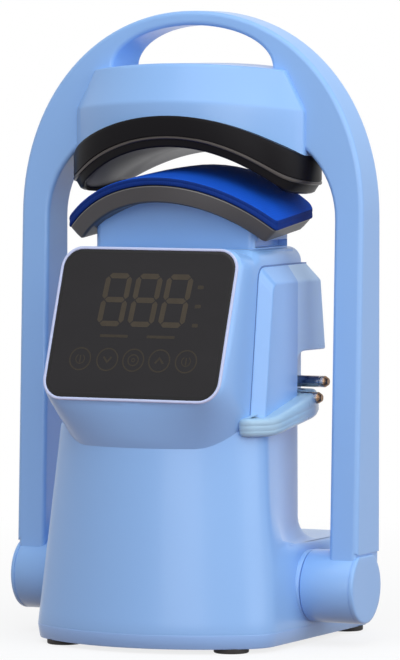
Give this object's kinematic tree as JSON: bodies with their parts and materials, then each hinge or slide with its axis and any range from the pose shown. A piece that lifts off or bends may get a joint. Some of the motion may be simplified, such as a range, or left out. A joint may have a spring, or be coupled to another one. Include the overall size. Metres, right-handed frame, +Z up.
{
  "type": "cap heat press",
  "caption": "Tabletop cap heat press with a bowed base, slanted touch display, rising padded cap form, side strap hook and a swinging arch arm that carries a saddle-shaped hot platen.",
  "frame": {"origin": "on the ground, under the middle of the bounding box", "axes": "+Z up, display and front towards -Y, strap hook on +X"},
  "size_m": [0.26, 0.208, 0.433],
  "materials": {
    "shell": "gloss",
    "band": "gloss",
    "rubber_feet": "matte",
    "steel": "satin",
    "rim": "gloss",
    "black_glass": "gloss",
    "digits": "matte",
    "brass": "satin",
    "board": "satin",
    "chrome_posts": "polished",
    "black_plastic": "satin",
    "form_metal": "satin",
    "pad": "smooth",
    "skirt": "satin",
    "platen": "satin",
    "element": "matte",
    "blanket": "matte",
    "ceramic": "matte"
  },
  "bodies": {
    "base": {"base_pan": "band", "base_feet": "rubber_feet", "base_screws": "steel", "base_shell": "shell", "rear_cover": "shell", "rear_screws": "steel", "control_housing": "shell", "display_bezel": "rim", "touch_glass": "black_glass", "led_display": "digits", "touch_springs": "brass", "display_board": "board", "hook_housing": "shell", "hook_ledge": "shell", "strap_posts": "chrome_posts", "axle_brackets": "steel", "hub_axles": "steel", "lift_frame": "steel", "guide_rods": "steel", "screw_bearing": "steel", "lift_motor": "black_plastic", "power_board": "board", "board_parts": "black_plastic", "power_inlet": "black_plastic", "switch_frame": "black_plastic"},
    "rocker": {"power_rocker": "black_plastic"},
    "lead_screw": {"motor_shaft": "steel", "screw_coupler": "steel", "lead_screw": "steel"},
    "cap_form": {"carriage": "steel", "lift_nut": "brass", "guide_bushes": "brass", "neck": "shell", "form_plate": "form_metal", "form_screws": "steel", "form_pad": "pad"},
    "press_arm": {"arch_shell": "shell", "arch_back": "shell", "arch_screws": "steel", "arm_frame": "steel", "hub_bushes": "brass", "axle_nuts": "steel", "hub_caps": "shell", "head_front": "shell", "head_rear": "shell", "head_plate": "steel", "head_posts": "steel", "head_skirt": "skirt", "heat_platen": "platen", "heating_element": "element", "insulation": "blanket", "platen_posts": "steel", "thermostat": "ceramic"}
  },
  "joints": [
    {"name": "arm_swing", "type": "hinge", "parent": "base", "child": "press_arm", "pos_m": [0, 0.003, 0.04], "axis": [-1, 0, 0], "range_deg": [-4, 45]},
    {"name": "form_lift", "type": "slide", "parent": "base", "child": "cap_form", "axis": [0, 0, 1], "range_m": [0, 0.009]},
    {"name": "screw_spin", "type": "hinge", "parent": "base", "child": "lead_screw", "pos_m": [0, 0, 0.15], "axis": [0, 0, 1], "range_deg": [0, 648]},
    {"name": "power_switch", "type": "hinge", "parent": "base", "child": "rocker", "pos_m": [0.042, 0.098, 0.04], "axis": [1, 0, 0], "range_deg": [0, 16]}
  ],
  "couplings": [
    {"joint": "screw_spin", "follows": "form_lift", "rad_per_m": 1256.6}
  ]
}
